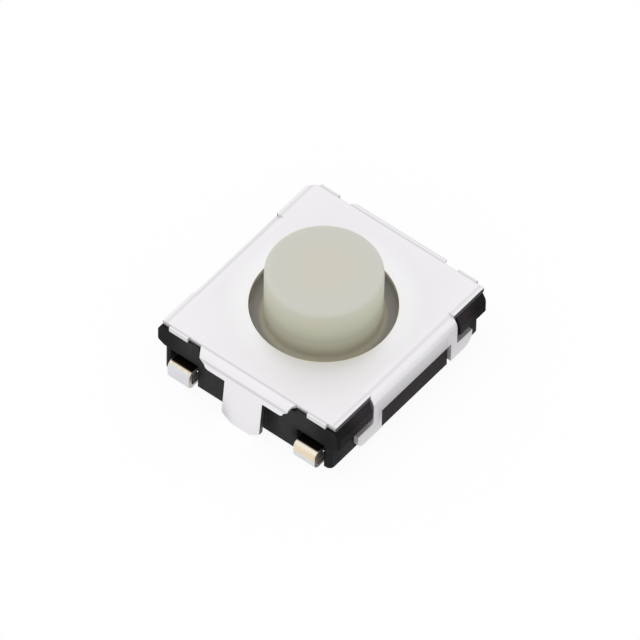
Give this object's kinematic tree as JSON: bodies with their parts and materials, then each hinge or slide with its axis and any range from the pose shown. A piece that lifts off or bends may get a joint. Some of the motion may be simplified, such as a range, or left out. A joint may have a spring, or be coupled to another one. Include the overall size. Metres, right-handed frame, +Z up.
{
  "type": "tactile push button switch",
  "caption": "Surface-mount tactile push button switch: soft round button, folded steel cover with a ground tab, black base and folded-under terminals.",
  "frame": {"origin": "on the button's axis, at the level of the ground tab's tip, which is the lowest point; the terminals stand 0.18 mm above it", "axes": "+Z up along the button's axis; -Y towards the side with the ground tab; X across the two clipped sides"},
  "size_m": [0.0064, 0.007, 0.0034],
  "materials": {
    "cover_steel": null,
    "button_elastomer": "soft, slightly translucent cream elastomer, matt",
    "dome_steel": "thin spring steel, bright",
    "base_plastic": "black moulded heat-proof plastic, fine matt texture",
    "contact_metal": "silver-plated copper alloy strip with pale gold sheared edges"
  },
  "bodies": {
    "housing": {"cover": "cover_steel", "base": "base_plastic", "centre_contact": "contact_metal", "outer_contact": "contact_metal", "dome": "dome_steel"},
    "plunger": {"button": "button_elastomer"}
  },
  "joints": [
    {"name": "button_press", "type": "slide", "parent": "housing", "child": "plunger", "axis": [0, 0, -1], "range_m": [0, 0.00025], "stiffness_N_per_m": 6000, "deforming": ["dome"]}
  ]
}
